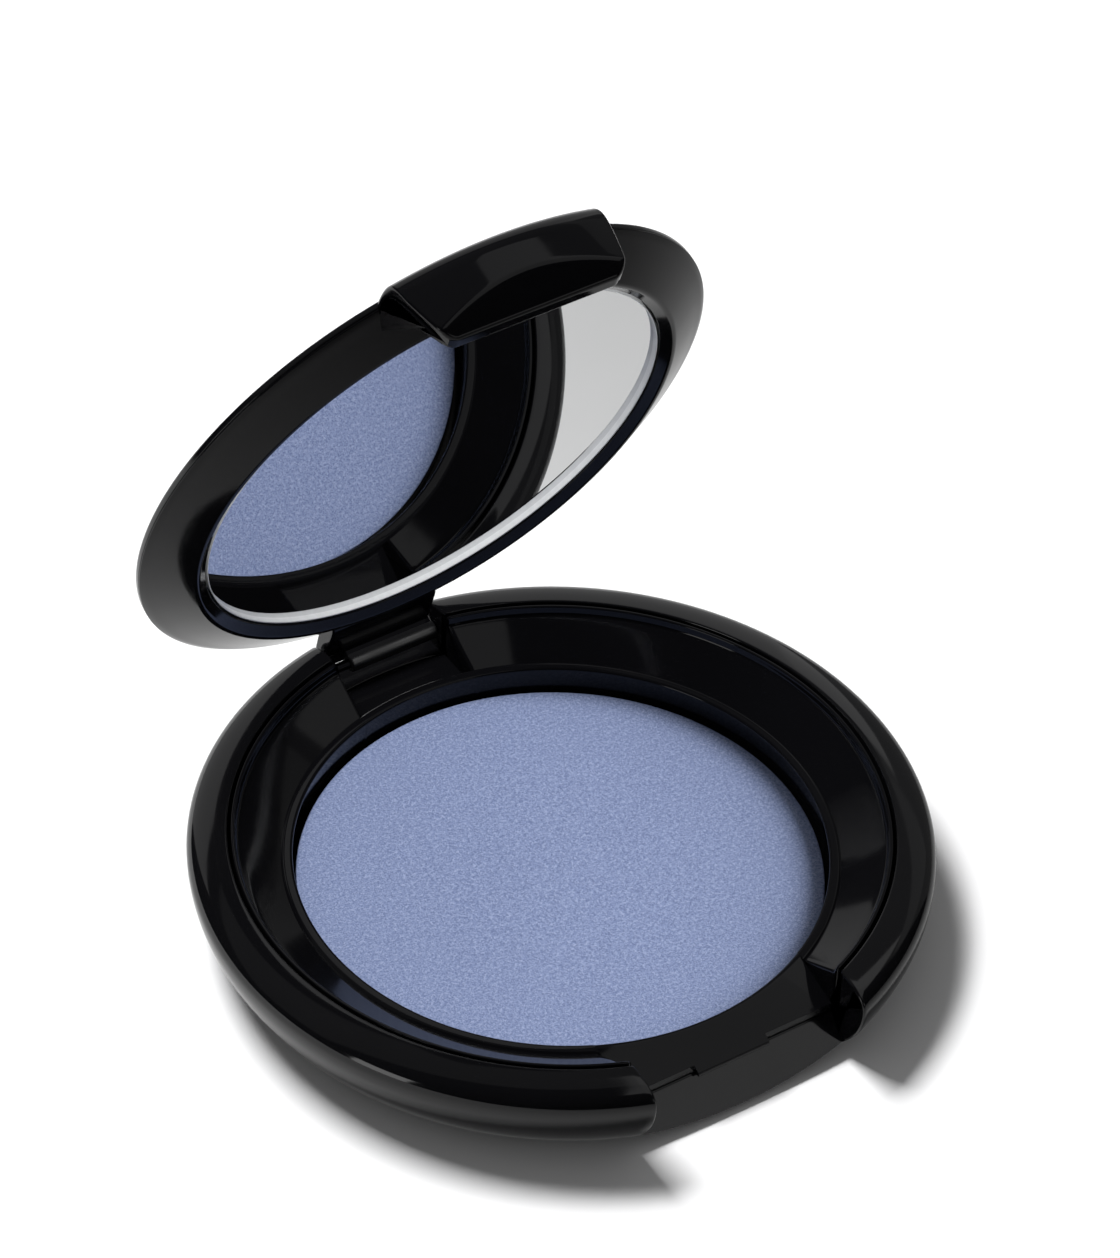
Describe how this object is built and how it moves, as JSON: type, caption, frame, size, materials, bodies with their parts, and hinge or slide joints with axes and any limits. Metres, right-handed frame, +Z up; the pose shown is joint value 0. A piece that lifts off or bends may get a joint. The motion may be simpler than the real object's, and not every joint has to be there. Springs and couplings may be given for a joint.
{
  "type": "powder compact",
  "caption": "Round glossy powder compact with a metal pan of pressed powder and a hinged mirrored lid with a thumb tab.",
  "frame": {"origin": "centre of the flat underside, where the compact rests", "axes": "+Z up out of the underside, +Y towards the hinge, -Y towards the thumb notch, +X to the right seen from the front; the lid is 72 degrees open at rest"},
  "size_m": [0.072, 0.07, 0.0732],
  "materials": {
    "casing_gloss": "polished black moulded plastic",
    "tray_gloss": "polished black moulded plastic",
    "pan_metal": "plain pressed sheet",
    "powder": "matt pressed powder with fine pearl",
    "adhesive": "tacky",
    "label_paper": "plain, matt",
    "pin_steel": "blackened drawn wire",
    "mirror": "silvered glass with a ground edge",
    "pad_foam": "matt foam"
  },
  "bodies": {
    "base": {"base_shell": "casing_gloss", "inner_tray": "tray_gloss", "powder_pan": "pan_metal", "powder_cake": "powder", "pan_adhesive": "adhesive", "bottom_label": "label_paper", "hinge_pin": "pin_steel"},
    "lid": {"lid_cover": "casing_gloss", "lid_frame": "tray_gloss", "mirror_glass": "mirror", "mirror_pad": "pad_foam"}
  },
  "joints": [
    {"name": "lid_hinge", "type": "hinge", "parent": "base", "child": "lid", "pos_m": [0, 0.0328, 0.0074], "axis": [-1, 0, 0], "range_deg": [-72, 40]}
  ]
}
